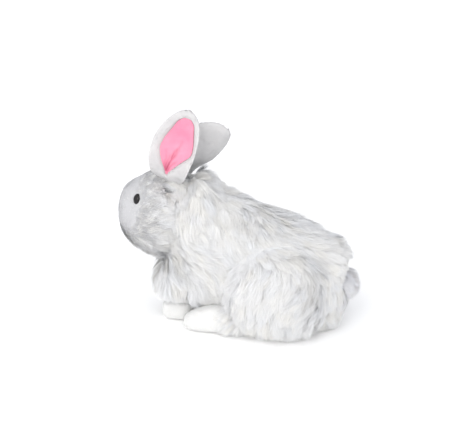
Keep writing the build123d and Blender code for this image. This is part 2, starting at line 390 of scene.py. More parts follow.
def pile_with_painted_shade(material, attribute, colour):
    """Painted shade on the pile: its colour mixed towards another colour where a mesh attribute says so."""
    tree = material.node_tree
    shader = tree.nodes["Principled BSDF"]
    usual = shader.inputs["Base Color"].links[0].from_socket
    share = tree.nodes.new("ShaderNodeAttribute")
    share.attribute_name = attribute
    mix = tree.nodes.new("ShaderNodeMix")
    mix.data_type = "RGBA"
    mix.inputs["B"].default_value = (*colour, 1)
    tree.links.new(share.outputs["Fac"], mix.inputs["Factor"])
    tree.links.new(usual, mix.inputs["A"])
    tree.links.new(mix.outputs["Result"], shader.inputs["Base Color"])
    return material


# painted shade: the tail's fur is a darker, cooler copy of the white fur, for the shade the tail sits in
TAIL_FUR_PAINTED_SHADE = fur_material("tail_fur", (0.72, 0.72, 0.745), (0.82, 0.82, 0.84), (0.90, 0.90, 0.915),
                        (1.0, 0.99, 0.97), (0.96, 0.975, 1.0), 0.1)
# painted shade: the face's short nap is a darker grey copy of the white fur, for the shade on the face
FACE_NAP_PAINTED_SHADE = fur_material("face_short_nap_painted_shade", (0.55, 0.55, 0.56), (0.64, 0.64, 0.65), (0.73, 0.73, 0.735),
                        (1.0, 0.99, 0.97), (0.97, 0.98, 1.0), 0.1)
# painted shade: the ears' white nap is darker than the paws' nap, for the shade on the ears
EAR_NAP_PAINTED_SHADE = fur_material("ear_short_nap_painted_shade", (0.52, 0.515, 0.515), (0.60, 0.59, 0.59), (0.68, 0.67, 0.67),
                       (1.0, 0.99, 0.98), (0.97, 0.98, 1.0), 0.1)
PAW_NAP = fur_material("paw_short_nap", (0.68, 0.68, 0.675), (0.76, 0.76, 0.75), (0.84, 0.84, 0.825),
                       (1.0, 0.99, 0.97), (0.975, 0.985, 1.0), 0.1)
PINK_NAP = fur_material("pink_short_nap", (0.74, 0.20, 0.31), (0.89, 0.33, 0.45), (0.95, 0.43, 0.54),
                        (1.0, 0.97, 0.95), (1.0, 1.0, 1.0), 0.2)
WHITE_PILE = pile_material("white_undercoat", (0.86, 0.86, 0.86), (0.80, 0.80, 0.81), 420.0, 0.6, 0.1)
# painted shade: the undercoat turns grey where the face attribute marks the face
UNDERCOAT_PAINTED_FACE_SHADE = pile_with_painted_shade(WHITE_PILE, "face", (0.52, 0.52, 0.535))
PAW_VELBOA = pile_material("paw_velboa", (0.80, 0.80, 0.79), (0.73, 0.73, 0.725), 520.0, 0.5, 0.1)
# painted shade: the ears' white pile is a darker copy of the paws' pile, for the shade on the ears
EAR_VELBOA_PAINTED_SHADE = pile_material("ear_velboa_painted_shade", (0.66, 0.65, 0.65), (0.58, 0.575, 0.58), 520.0, 0.5, 0.1)
PINK_PILE = pile_material("pink_lining_plush", (0.90, 0.34, 0.46), (0.82, 0.25, 0.37), 480.0, 0.5, 0.1)
# painted shade: the lining turns dark red down its creases
LINING = pile_with_painted_shade(PINK_PILE, "crease_shade", (0.42, 0.06, 0.12))
EYE_BLACK = plastic_material("eye_black_gloss", (0.006, 0.005, 0.005), 0.14, 0.08)
WASHER_WHITE = plastic_material("washer_natural_plastic", (0.62, 0.61, 0.58), 0.45, 0.0)
NOSE_THREAD = pile_material("nose_embroidery_floss", (0.10, 0.085, 0.09), (0.045, 0.04, 0.045),
                            900.0, 0.4, 0.3)


# ---------------------------------------------------------------- strands
def surface_samples(obj, per_mm2, seed, weight=None):
    """Random roots on a mesh with their normals; weight(points, normals) thins them out."""
    mesh = obj.data
    mesh.calc_loop_triangles()
    co = points_of(obj)
    tri = np.empty(len(mesh.loop_triangles) * 3, dtype=int)
    mesh.loop_triangles.foreach_get("vertices", tri)
    tri = tri.reshape(-1, 3)
    vn = vertex_normals(obj)
    a, b, c = co[tri[:, 0]], co[tri[:, 1]], co[tri[:, 2]]
    area = np.linalg.norm(np.cross(b - a, c - a), axis=1) / 2
    draw = np.random.default_rng(seed)
    count = int(area.sum() * per_mm2 / MM ** 2)
    pick = draw.choice(len(tri), size=count, p=area / area.sum())
    u, v = draw.random(count), draw.random(count)
    flip = u + v > 1
    u[flip], v[flip] = 1 - u[flip], 1 - v[flip]
    w = 1 - u - v
    ids = tri[pick]
    roots = co[ids[:, 0]] * w[:, None] + co[ids[:, 1]] * u[:, None] + co[ids[:, 2]] * v[:, None]
    normals = unit(vn[ids[:, 0]] * w[:, None] + vn[ids[:, 1]] * u[:, None] + vn[ids[:, 2]] * v[:, None])
    if weight is not None:
        keep = draw.random(count) < weight(roots, normals)
        roots, normals = roots[keep], normals[keep]
    return roots, normals


def on_surface(flow, normals):
    """Flow laid into the surface."""
    return unit(flow - normals * np.sum(flow * normals, axis=1, keepdims=True))


def turned(flow, normals, angle):
    """Flow turned about the normals by an angle each."""
    angle = angle[:, None]
    return flow * np.cos(angle) + np.cross(normals, flow) * np.sin(angle)


def strand_paths(roots, normals, flow, length, lift, curl, levels):
    """Centre lines of hairs that rise at lift and bend back along flow: (strand, level, xyz)."""
    t = np.linspace(0, 1, levels)[None, :, None]
    size = length[:, None, None]
    rise = np.sin(lift)[:, None, None]
    run = np.cos(lift)[:, None, None]
    along = flow[:, None, :] * (run * t + 0.18 * t * t)
    up = normals[:, None, :] * (rise * t - curl[:, None, None] * rise * t * t)
    return (roots - normals * ROOT_DEPTH)[:, None, :] + size * (along + up)


def ribbons(name, paths, facing, skin_normals, width, tint, material):
    """One mesh of tapering ribbons along the paths, shaded mostly like the skin that they grow from."""
    count, levels, _ = paths.shape
    t = np.linspace(0, 1, levels)
    tangent = unit(np.gradient(paths, axis=1))
    side = unit(np.cross(tangent, facing[:, None, :]))
    taper = (1 - t ** 2.2)[None, :, None] * 0.5
    spread = side * taper * width[:, None, None]
    left, right = paths - spread, paths + spread
    per = 2 * levels - 1
    verts = np.empty((count, per, 3))
    verts[:, 0:-1:2] = left[:, :-1]
    verts[:, 1:-1:2] = right[:, :-1]
    verts[:, -1] = paths[:, -1]
    verts[:, :, 2] = np.maximum(verts[:, :, 2], FLOOR_CLEAR)
    verts[:, :, 0] = np.clip(verts[:, :, 0], cad_low[0] - FUR_PROUD, cad_high[0] + FUR_PROUD)
    verts[:, :, 1] = np.minimum(verts[:, :, 1], cad_high[1] + TAIL_PROUD)
    quads = np.array([[2 * k, 2 * k + 1, 2 * k + 3, 2 * k + 2] for k in range(levels - 2)]).ravel()
    tip = np.array([per - 3, per - 2, per - 1])
    one = np.concatenate([quads, tip])
    loops = (np.arange(count)[:, None] * per + one[None, :]).ravel()
    sizes = np.tile(np.array([4] * (levels - 2) + [3]), count)
    starts = np.concatenate([[0], np.cumsum(sizes)[:-1]])

    mesh = bpy.data.meshes.new(name)
    mesh.vertices.add(count * per)
    mesh.vertices.foreach_set("co", verts.ravel())
    mesh.loops.add(len(loops))
    mesh.loops.foreach_set("vertex_index", loops)
    mesh.polygons.add(len(sizes))
    mesh.polygons.foreach_set("loop_start", starts)
    mesh.polygons.foreach_set("use_smooth", np.ones(len(sizes), dtype=bool))
    mesh.update(calc_edges=True)

    level_t = np.concatenate([np.repeat(t[:-1], 2), [1.0]])
    data = np.ones((count, per, 4))
    data[:, :, 0] = level_t[None, :]
    data[:, :, 1] = tint[:, 0:1]
    data[:, :, 2] = tint[:, 1:2]
    layer = mesh.attributes.new("fur", "FLOAT_COLOR", "POINT")
    layer.data.foreach_set("color", data.ravel())

    across = int(math.ceil(math.sqrt(count)))
    col, row = np.arange(count) % across, np.arange(count) // across
    side_u = np.concatenate([np.tile([0.25, 0.75], levels - 1), [0.5]])
    u = (col[:, None] + side_u[None, :]) / across
    v = (row[:, None] + 0.12 + 0.76 * level_t[None, :]) / across
    uv = np.stack([u, v], axis=2).reshape(-1, 2)[loops]
    mesh.uv_layers.new(name="OFBake").data.foreach_set("uv", uv.ravel())

    soft = unit(skin_normals * 0.75 + facing * 0.25)
    mesh.normals_split_custom_set_from_vertices(np.repeat(soft, per, axis=0))
    mesh.materials.append(material)
    obj = bpy.data.objects.new(name, mesh)
    bpy.context.scene.collection.objects.link(obj)
    return obj


def grow(name, form, style, material, keep=None, seed=SEED):
    """Fur on a form. style gives density, tuft spacing, length, lift, flow and width for any point."""
    roots, normals = surface_samples(form, style["density"], seed, keep)
    centres, centre_normals = surface_samples(form, 1.0 / style["tuft"] ** 2, seed + 1)
    draw = np.random.default_rng(seed + 2)
    tree = KDTree(len(centres))
    for index, place in enumerate(centres):
        tree.insert(place, index)
    tree.balance()
    tuft = np.array([tree.find(p)[1] for p in roots])

    swirl = waves(centres, style["swirl_size"], seed + 3) * style["swirl"]
    swirl += draw.normal(0, style["scatter"], len(centres))
    combed = on_surface(style["flow"](centres, centre_normals), centre_normals)
    centre_flow = turned(combed, centre_normals, swirl)
    tuft_length = draw.uniform(0.78, 1.18, len(centres))
    tuft_lift = draw.uniform(0.8, 1.25, len(centres))
    tuft_tone = draw.random(len(centres))

    length = style["length"](roots, normals) * tuft_length[tuft] * draw.uniform(0.62, 1.15, len(roots))
    lift = style["lift"](roots, normals) * tuft_lift[tuft] * draw.uniform(0.8, 1.2, len(roots))
    curl = np.full(len(roots), style["curl"])
    stray = draw.normal(0, style["stray"], len(roots))
    flow = turned(on_surface(centre_flow[tuft], normals), normals, stray)
    levels = style["levels"]
    own = strand_paths(roots, normals, flow, length, lift, curl, levels)
    lead_length = style["length"](centres, centre_normals) * tuft_length
    lead_lift = style["lift"](centres, centre_normals) * tuft_lift
    lead = strand_paths(centres, centre_normals, centre_flow, lead_length, lead_lift,
                        np.full(len(centres), style["curl"]), levels)
    t = np.linspace(0, 1, levels)[None, :, None]
    tuft_pull = style["clump"] * draw.uniform(0.2, 1.8, len(centres)) ** 1.5
    pull = tuft_pull[tuft][:, None, None] * draw.uniform(0.6, 1.3, len(roots))[:, None, None] * t ** 1.3
    paths = own + (lead[tuft] - own) * np.clip(pull, 0, 0.92)
    facing = unit(normals + draw.normal(0, 0.3, normals.shape))
    width = style["width"] * draw.uniform(0.75, 1.3, len(roots))
    tint = np.stack([draw.random(len(roots)), tuft_tone[tuft]], axis=1)
    return ribbons(name, paths, facing, normals, width, tint, material)


# ---------------------------------------------------------------- places read from the CAD
gusset_low, gusset_high = (np.array(c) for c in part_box("head_gusset"))
chin_low = np.array(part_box("chin_panel")[0])
nose_place = (np.array(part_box("nose_stitching")[0]) + np.array(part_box("nose_stitching")[1])) / 2
haunch_low, haunch_high = (np.array(c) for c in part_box("haunch_cover_left"))
haunch_mid = (haunch_low + haunch_high) / 2
tail_centre = sum(np.array(c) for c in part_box("tail_cover")) / 2
hinge_places = {joint["name"]: np.array(joint["pos_m"]) for joint in frame["joints"]}
tail_pivot = hinge_places["tail_tilt"]
ear_pivots = [hinge_places["ear_left_lean"], hinge_places["ear_right_lean"]]
head_centre = np.array([0.0, gusset_low[1] + 54 * MM, (gusset_high[2] + chin_low[2]) / 2])


# ---------------------------------------------------------------- where each kind of fur grows
def ease(x, low, high):
    """0 below low, 1 above high, smooth between."""
    t = np.clip((x - low) / (high - low), 0, 1)
    return t * t * (3 - 2 * t)


def face_amount(points):
    """1 on the short-pile face, 0 where the long fur starts behind the cheeks."""
    jaw = 1 - ease(points[:, 2], 104 * MM, 150 * MM)
    edge = head_centre[1] - 13 * MM - 17 * MM * jaw + waves(points, 24 * MM, SEED + 7) * 3 * MM
    back = ease(points[:, 1], edge - 18 * MM, edge + 16 * MM)
    above_throat = ease(points[:, 2], chin_low[2] - 4 * MM, chin_low[2] + 8 * MM)
    return (1 - back) * above_throat


def jaw_amount(points):
    """1 under the muzzle, 0 above the mouth."""
    return 1 - ease(points[:, 2], 98 * MM, 134 * MM)


def near_ears(points):
    """1 at the ear roots, 0 a couple of fingers' width away."""
    away = np.stack([np.linalg.norm(points - pivot, axis=1) for pivot in ear_pivots])
    return 1 - ease(away.min(axis=0), 16 * MM, 34 * MM)


def body_length(points, normals):
    """Hair length over trunk, haunches and head."""
    face = face_amount(points)
    crown = ease(points[:, 2], 150 * MM, 180 * MM) * (1 - ease(points[:, 1], -60 * MM, -30 * MM))
    long_hair = 25 * MM - 7 * MM * crown
    short_hair = 3.0 * MM + 8 * MM * jaw_amount(points) + 6 * MM * near_ears(points)
    length = long_hair * (1 - face) + short_hair * face
    low = ease(points[:, 2], 0.0, 26 * MM)
    over_paws = (1 - ease(points[:, 1], -66 * MM, -50 * MM)) * (1 - ease(points[:, 2], 34 * MM, 56 * MM))
    round_tail = 1 - ease(np.linalg.norm(points - tail_centre, axis=1), 26 * MM, 50 * MM)
    rear = ease(points[:, 1], 104 * MM, 134 * MM)
    return length * (0.62 + 0.38 * low) * (1 - 0.5 * over_paws) * (1 - 0.5 * round_tail) * (1 - 0.3 * rear)


def body_lift(points, normals):
    """Angle that hair leaves the skin at."""
    face = face_amount(points)
    front = 1 - ease(points[:, 1], -98 * MM, -76 * MM)
    lift = 25 + 6 * face * (1 - jaw_amount(points)) + 12 * front * (1 - face) + 26 * near_ears(points)
    return np.radians(lift)


def body_flow(points, normals):
    """Which way the fur lies: back from the nose, down the flanks, out from the haunches and tail."""
    down_back = np.tile([0.0, 0.45, -0.9], (len(points), 1))
    down_back[:, 1] += 0.6 * np.clip(normals[:, 2], 0, 1)
    from_nose = unit(points - nose_place) + np.array([0.0, 0.1, -0.15])
    chest = np.tile([0.0, -0.35, -1.0], (len(points), 1))
    side = np.sign(points[:, 0:1])
    centre = haunch_mid + [0, 14 * MM, 62 * MM]
    from_haunch = points - np.stack([side[:, 0] * centre[0], np.full(len(points), centre[1]),
                                     np.full(len(points), centre[2])], axis=1)
    from_haunch = 0.6 * unit(from_haunch) + np.array([0.0, 0.0, -0.7])
    from_tail = 0.5 * unit(points - tail_pivot) + np.array([0.0, 0.5, -0.9])

    head = 1 - ease(points[:, 1], -112 * MM, -36 * MM)
    head = head * ease(points[:, 2], 72 * MM, 92 * MM)
    front = (1 - ease(points[:, 1], -92 * MM, -44 * MM)) * (1 - head)
    on_haunch = ease(np.abs(points[:, 0]), 36 * MM, 62 * MM) * (1 - ease(points[:, 2], 76 * MM, 126 * MM))
    on_haunch = on_haunch * ease(points[:, 1], -12 * MM, 6 * MM)
    rump = ease(points[:, 1], 96 * MM, 128 * MM)
    flow = down_back * (1 - head - front)[:, None] + from_nose * head[:, None] + chest * front[:, None]
    flow = flow * (1 - on_haunch)[:, None] + from_haunch * on_haunch[:, None]
    return flow * (1 - rump)[:, None] + from_tail * rump[:, None]


def not_underneath(points, normals):
    """Leave the flat resting face bare."""
    return 1 - (normals[:, 2] < -0.75) * (points[:, 2] < 6 * MM)


def long_keep(points, normals):
    """Share of long hairs that grow: few on the face."""
    return not_underneath(points, normals) * (1 - 0.9 * face_amount(points))


def face_keep(points, normals):
    """Share of short hairs that grow on the face above the jaw."""
    return np.sqrt(face_amount(points)) * (1 - jaw_amount(points))


def jaw_keep(points, normals):
    """Share of hairs that grow below the mouth."""
    return np.sqrt(face_amount(points)) * jaw_amount(points)


def swelling(points, normals):
    """How far the stuffing pushes the skin out beyond the sewn shape: muzzle, back, chest and rump."""
    muzzle = 1 - ease(points[:, 1], -144 * MM, -112 * MM)
    muzzle = muzzle * (1 - ease(np.abs(points[:, 0]), 20 * MM, 36 * MM))
    muzzle = muzzle * (1 - ease(points[:, 2], 168 * MM, 190 * MM))
    back = ease(points[:, 1], -40 * MM, 0.0) * ease(normals[:, 2], 0.1, 0.7)
    chest = (1 - ease(points[:, 1], -92 * MM, -70 * MM)) * (1 - ease(points[:, 2], 70 * MM, 86 * MM))
    rump = ease(points[:, 1], 84 * MM, 120 * MM) * (1 - ease(points[:, 2], 40 * MM, 70 * MM))
    return (6.0 * muzzle + 4.0 * back + 4.5 * chest + 6.0 * rump) * MM


BODY_STYLE = {
    "density": 1.25, "tuft": 8.0, "length": body_length, "lift": body_lift, "flow": body_flow, "curl": 0.5,
    "clump": 0.3, "width": 0.6 * MM, "levels": 4, "swirl": 0.75, "swirl_size": 75 * MM, "scatter": 0.24,
    "stray": 0.2,
}
FACE_STYLE = {
    "density": 2.6, "tuft": 3.0, "length": body_length, "lift": body_lift, "flow": body_flow, "curl": 0.4,
    "clump": 0.2, "width": 0.5 * MM, "levels": 3, "swirl": 0.15, "swirl_size": 30 * MM, "scatter": 0.15,
    "stray": 0.2,
}


# ---------------------------------------------------------------- torso: one padded form under the fur
def make_torso():
    """The skin of trunk, head and haunches, filled out. Its face is marked for painted shade on the
    undercoat.
    """
    form = smooth_form("torso_padding", TRUNK_NODES + HEAD_NODES + HAUNCH_NODES, 4 * MM, 44, 12)
    puff(form, 2 * MM, 3 * MM)
    co = points_of(form)
    normals = vertex_normals(form)
    co = co + normals * (TORSO_SET_OUT + swelling(co, normals))[:, None]
    co[:, 2] = np.maximum(co[:, 2], 0.0)
    move_points(form, co)
    # painted shade: how far the undercoat darkens, by the face share
    form.data.attributes.new("face", "FLOAT", "POINT").data.foreach_set("value", face_amount(co))
    cover_with(form, UNDERCOAT_PAINTED_FACE_SHADE)
    return form


padding = make_torso()

# from front to back in millimetres, so that no piece of fur holds too many triangles
FUR_BANDS = {
    "head": (-200, -70),
    "shoulder": (-70, -10),
    "flank": (-10, 50),
    "haunch": (50, 100),
    "rump": (100, 200),
}
fur_pieces = []
for name, (front, rear) in FUR_BANDS.items():
    for side, sign in SIDES:
        def in_band(p, n, front=front * MM, rear=rear * MM, sign=sign):
            return long_keep(p, n) * (p[:, 1] >= front) * (p[:, 1] < rear) * (p[:, 0] * sign >= 0)

        fur_pieces.append(grow(f"fur_{name}_{side}", padding, BODY_STYLE, WHITE_FUR, in_band, SEED))
fur_pieces.append(grow("jaw_fur", padding, FACE_STYLE, WHITE_FUR, jaw_keep, SEED + 30))
fur_pieces.append(grow("face_nap", padding, FACE_STYLE, FACE_NAP_PAINTED_SHADE, face_keep, SEED + 40))


# ---------------------------------------------------------------- feet, paws and tail
def nap_style(length, density=1.3, flow=(0.0, -1.0, -0.2)):
    """Short even nap that leans along flow."""
    return {
        "density": density, "tuft": 2.6, "length": lambda p, n: np.full(len(p), length),
        "lift": lambda p, n: np.full(len(p), math.radians(38)),
        "flow": lambda p, n: np.tile(np.array(flow), (len(p), 1)), "curl": 0.4, "clump": 0.3,
        "width": 0.5 * MM, "levels": 3, "swirl": 0.3, "swirl_size": 30 * MM, "scatter": 0.2, "stray": 0.2,
    }


def ankle(points, normals):
    """Only the back part of a foot carries long fur, and not its sole."""
    return ease(points[:, 1], foot_toe + 40 * MM, foot_toe + 74 * MM) * not_underneath(points, normals)


foot_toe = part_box("hind_foot_cover_left")[0][1]
FOOT_FUR_STYLE = dict(
    BODY_STYLE, swirl=0.4,
    length=lambda p, n: 4 * MM + 16 * MM * ease(p[:, 1], foot_toe + 40 * MM, foot_toe + 80 * MM),
    flow=lambda p, n: np.tile([0.0, -0.7, -0.6], (len(p), 1)),
)


def make_foot(side):
    """A stuffed hind foot, lower towards its toe."""
    foot = smooth_form(f"hind_foot_{side}", [f"hind_foot_{part}_{side}" for part in SEWN], 3 * MM, 8)
    co = points_of(foot)
    co[:, 2] *= 1 - 0.3 * (1 - ease(co[:, 1], foot_toe - 4 * MM, foot_toe + 44 * MM))
    move_points(foot, co)
    puff(foot, 2 * MM, 3 * MM)
    refine(foot)
    cover_with(foot, PAW_VELBOA)
    return foot


def make_paw(side):
    """A stuffed front paw."""
    paw = smooth_form(f"front_paw_{side}", [f"front_paw_{part}_{side}" for part in SEWN], 2.5 * MM, 14)
    puff(paw, 1.5 * MM, 2.5 * MM)
    refine(paw)
    cover_with(paw, PAW_VELBOA)
    return paw


limbs = {}
for side, _ in SIDES:
    foot = make_foot(side)
    paw = make_paw(side)
    limbs[f"hind_foot_{side}"] = foot
    limbs[f"front_paw_{side}"] = paw
    for name, limb in ((f"hind_foot_nap_{side}", foot), (f"front_paw_nap_{side}", paw)):
        limbs[name] = grow(name, limb, nap_style(3.0 * MM), PAW_NAP, not_underneath, SEED + 60)
    name = f"hind_foot_fur_{side}"
    limbs[name] = grow(name, foot, FOOT_FUR_STYLE, WHITE_FUR, ankle, SEED + 70)


def tail_flow(points, normals):
    """Out from the tail's root and a little down."""
    return unit(points - (tail_pivot - [0, 8 * MM, 0])) + np.array([0.0, 0.3, -0.6])


TAIL_STYLE = dict(
    BODY_STYLE, density=3.2, tuft=5.0, swirl=0.4, curl=0.3, flow=tail_flow,
    length=lambda p, n: np.full(len(p), 15 * MM),
    lift=lambda p, n: np.full(len(p), math.radians(50)),
)


def make_tail():
    """The stuffed tail ball, swollen to fill out its fur."""
    ball = smooth_form("tail_padding", ["tail_cover", "tail_stuffing"], 3 * MM, 6)
    move_points(ball, points_of(ball) + vertex_normals(ball) * 3 * MM)
    puff(ball, 1.5 * MM, 2.5 * MM)
    refine(ball)
    cover_with(ball, UNDERCOAT_PAINTED_FACE_SHADE)
    return ball


tail = make_tail()
tail_fur = grow("tail_fur", tail, TAIL_STYLE, TAIL_FUR_PAINTED_SHADE, None, SEED + 80)


# ---------------------------------------------------------------- ears
def ear_frame(side):
    """Hinge point and the ear's own directions: along to the tip, across, and out of the cup."""
    joint = next(j for j in frame["joints"] if j["name"] == f"ear_{side}_lean")
    pivot = np.array(joint["pos_m"])
    back, _ = node_mesh([f"ear_back_{side}"])
    lining, _ = node_mesh([f"ear_lining_{side}"])
    out = unit(np.array(joint["axis"]))
    if np.dot(lining.mean(axis=0) - back.mean(axis=0), out) < 0:
        out = -out
    tip = back[np.argmax(np.linalg.norm(back - pivot, axis=1))] - pivot
    along = unit(tip - out * np.dot(tip, out))
    forward = np.cross(along, out)
    if forward[1] > 0:
        forward = -forward
    return pivot, along, forward, out, np.linalg.norm(tip) * EAR_REACH[side]


EAR_ROWS, EAR_COLS = 46, 34
EAR_START = -0.14  # the root runs this share of the length down inside the head
EAR_REACH = {"left": 1.03, "right": 0.96}  # length of each padded ear against its hinge-to-tip core
EAR_CURL = {"left": 0.0, "right": 10 * MM}  # how much further forward the tip of each lies
EAR_WIDEST_AT = 0.46
EAR_HALF_WIDTH = 29.0 * MM
EAR_ROOT_HALF = 18.0 * MM


def ear_half_width(s):
    """Half width along the ear, s from 0 at the hinge to 1 at the tip: a waisted root and an oval blade."""
    blade = np.sqrt(np.clip(1 - ((s - EAR_WIDEST_AT) / (1 - EAR_WIDEST_AT)) ** 2, 0, 1))
    root = 1 - (1 - EAR_ROOT_HALF / EAR_HALF_WIDTH) * ((EAR_WIDEST_AT - s) / EAR_WIDEST_AT) ** 2
    return EAR_HALF_WIDTH * np.where(s > EAR_WIDEST_AT, blade, root)


def ear_bend(s, curl):
    """How far the blade's middle line swings: back towards the tip, less so by the ear's own curl."""
    swing = along_curve(s, [0.0, 0.3, 0.55, 0.72, 0.95, 1.0], [0, 1.5, -0.5, -3.6, -8.0, -8.6]) * MM
    return swing + curl * ease(s, 0.15, 1.0)


def lining_half(s):
    """Half width of the lining: a point at the root, wide below mid height, rounded at the top."""
    half = along_curve(s, [0.07, 0.15, 0.3, 0.44, 0.58, 0.72, 0.9], [0.4, 4.5, 13.5, 21, 19, 14.0, 8.5])
    return (half * np.sqrt(1 - np.clip((s - 0.8) / 0.1, 0, 0.999) ** 2)) * MM


def lining_shift(s, curl):
    """Where the lining's middle lies: ahead of the ear's at the root, behind it higher up."""
    shift = along_curve(s, [0.07, 0.15, 0.3, 0.44, 0.72, 0.9], [4.6, 4.0, 1.8, -2.4, -6.4, -9.0]) * MM
    return shift + curl * ease(s, 0.15, 1.0)


def cup(s, x, curl):
    """Height of the ear's middle sheet: a gutter, deepest low down, its edges tucked in at the root."""
    share = np.clip((x - ear_bend(s, curl)) / np.maximum(ear_half_width(s), 2 * MM), -1, 1)
    depth = 6.0 + 7.0 * (1 - ease(s, 0.1, 0.5)) * ease(s, -0.04, 0.2)
    depth = depth * np.sqrt(ear_half_width(s) / EAR_HALF_WIDTH)
    tuck = 9.0 * (1 - ease(s, -0.16, 0.16))
    sunk = 8.0 * (1 - ease(s, -0.12, 0.1))
    return ((depth - tuck) * np.abs(share) ** 2.2 + 1.5 * np.sin(3.0 * s) - sunk) * MM


def placed(ear, s, x, z):
    """Places in the shared frame of points given along, across and out of an ear."""
    pivot, along, forward, out, length = ear
    return pivot + (s * length)[..., None] * along + x[..., None] * forward + z[..., None] * out


# creases in the lining: where each starts and ends as (share of length, millimetres forward), and its depth
CREASES = [
    ((0.13, 6.5), (0.47, -6.0), 1.5),
    ((0.13, 7.0), (0.36, 4.8), 1.2),
    ((0.3, 2.0), (0.58, -8.5), 1.1),
    ((0.12, 5.0), (0.3, -5.5), 1.0),
    ((0.16, 8.0), (0.4, 9.5), 0.7),
]


def crease_depth(s, x, length):
    """Depth of the creases that fan up the lining from its pinched root."""
    total = np.zeros_like(s)
    for (s0, x0), (s1, x1), deep in CREASES:
        start, run = np.array([s0 * length, x0 * MM]), np.array([(s1 - s0) * length, (x1 - x0) * MM])
        away_s, away_x = s * length - start[0], x - start[1]
        share = np.clip((away_s * run[0] + away_x * run[1]) / (run @ run), 0, 1)
        wobble = 0.8 * MM * np.sin(share * 7 + s0 * 40)
        gap = np.hypot(away_s - share * run[0], away_x - share * run[1] - wobble)
        total = np.maximum(total, deep * MM * np.exp(-(gap / CREASE_WIDTH) ** 2) * (1 - 0.8 * share))
    return total


def grid_mesh(name, front, back, material):
    """A closed mesh from a front and a back grid, joined round the rim."""
    rows, cols = front.shape[:2]
    verts = np.vstack([front.reshape(-1, 3), back.reshape(-1, 3)])
    index = np.arange(rows * cols).reshape(rows, cols)
    other = index + rows * cols
    faces = []
    for i in range(rows - 1):
        for j in range(cols - 1):
            faces.append((index[i, j], index[i, j + 1], index[i + 1, j + 1], index[i + 1, j]))
            faces.append((other[i, j], other[i + 1, j], other[i + 1, j + 1], other[i, j + 1]))
    rim = [index[0, j] for j in range(cols)] + [index[i, -1] for i in range(1, rows)]
    rim += [index[-1, j] for j in range(cols - 2, -1, -1)] + [index[i, 0] for i in range(rows - 2, 0, -1)]
    for k, a in enumerate(rim):
        b = rim[(k + 1) % len(rim)]
        faces.append((b, a, a + rows * cols, b + rows * cols))
    obj = new_object(name, verts, faces, material)
    bm = bmesh.new()
    bm.from_mesh(obj.data)
    bmesh.ops.remove_doubles(bm, verts=bm.verts, dist=0.00005)
    bmesh.ops.recalc_face_normals(bm, faces=bm.faces)
    bm.to_mesh(obj.data)
    bm.free()
    shade_smooth(obj)
    return obj


def shell_height(s, x, over, curl):
    """Front of the white shell: sunk under the lining, rolled up round it as a padded margin."""
    inside = np.abs(x - lining_shift(s, curl)) / np.maximum(lining_half(s), 0.5 * MM)
    inside = np.where((s < LINING_FROM) | (s > LINING_TO + 0.03), 3.0, inside)
    return (-1.3 + 4.2 * ease(inside, 0.92, 1.35)) * MM * over


def make_ear(side):
    """White padded ear with a rolled margin, and the pink lining laid into it."""
    ear = ear_frame(side)
    pivot, along, forward, out, length = ear
    curl = EAR_CURL[side]
    rows = EAR_START + (1 - EAR_START) * np.sin(np.linspace(0.0, math.pi / 2, EAR_ROWS))
    columns = np.sin(np.linspace(-math.pi / 2, math.pi / 2, EAR_COLS))
    S, T = np.meshgrid(rows, columns, indexing="ij")
    X = ear_bend(S, curl) + ear_half_width(S) * T
    edge = (1 - T ** 2) ** 0.25 * np.sqrt(np.clip(1 - ease(S, 0.9, 1.0), 0, 1))
    middle = cup(S, X, curl)
    front = placed(ear, S, X, middle + shell_height(S, X, edge, curl))
    back = placed(ear, S, X, middle - (4.0 + 1.0 * (1 - ease(S, 0.5, 1.0))) * MM * edge)
    shell = grid_mesh(f"ear_{side}", front, back, EAR_VELBOA_PAINTED_SHADE)

    rows = np.linspace(LINING_FROM, LINING_TO, EAR_ROWS)
    S, T = np.meshgrid(rows, columns, indexing="ij")
    X = lining_shift(S, curl) + lining_half(S) * T
    folds = crease_depth(S, X, length)
    middle = cup(S, X, curl)
    ripple = 0.3 * MM * np.sin(S * 55 + T * 4) * (1 - T ** 2)
    top = placed(ear, S, X, middle + 1.3 * MM - folds + ripple)
    under = placed(ear, S, X, middle - 0.9 * MM + 0 * S)
    lining = grid_mesh(f"ear_lining_pink_{side}", top, under, LINING)

    def local(p):
        """Share of the ear's length and distance across it."""
        return (p - pivot) @ along / length, (p - pivot) @ forward

    # painted shade: how dark the lining is painted, from the depth of its creases
    crease_shade = crease_depth(*local(points_of(lining)), length) / DEEPEST_CREASE
    lining.data.attributes.new("crease_shade", "FLOAT", "POINT").data.foreach_set("value", np.clip(crease_shade, 0, 1))

    def white_part(p, n):
        """White nap everywhere but on the lining."""
        s, x = local(p)
        inside = np.abs(x - lining_shift(s, curl)) < lining_half(s) + 0.5 * MM
        return 1.0 - ((n @ out) > 0.0) * inside * (s > 0.08) * (s < LINING_TO)

    def pink_part(p, n):
        """Pink nap on the lining's front, not down in its creases."""
        return ((n @ out) > 0.1) * (crease_depth(*local(p), length) < 0.4 * MM)

    white_style = nap_style(2.6 * MM, 1.5, tuple(along))
    pink_style = nap_style(1.4 * MM, 2.2, tuple(along))
    white = grow(f"ear_nap_{side}", shell, white_style, EAR_NAP_PAINTED_SHADE, white_part, SEED + 100)
    pink = grow(f"ear_lining_nap_{side}", lining, pink_style, PINK_NAP, pink_part, SEED + 120)
    return shell, lining, white, pink


ears = {side: make_ear(side) for side, _ in SIDES}


# ---------------------------------------------------------------- eyes and nose
def set_material(node, material):
    """A better finish on a CAD node that stays."""
    obj = frame["nodes"][node]
    for slot in obj.material_slots:
        slot.link = "OBJECT"
        slot.material = material


for side, _ in SIDES:
    set_material(f"eye_{side}", EYE_BLACK)
    set_material(f"eye_washer_{side}", WASHER_WHITE)


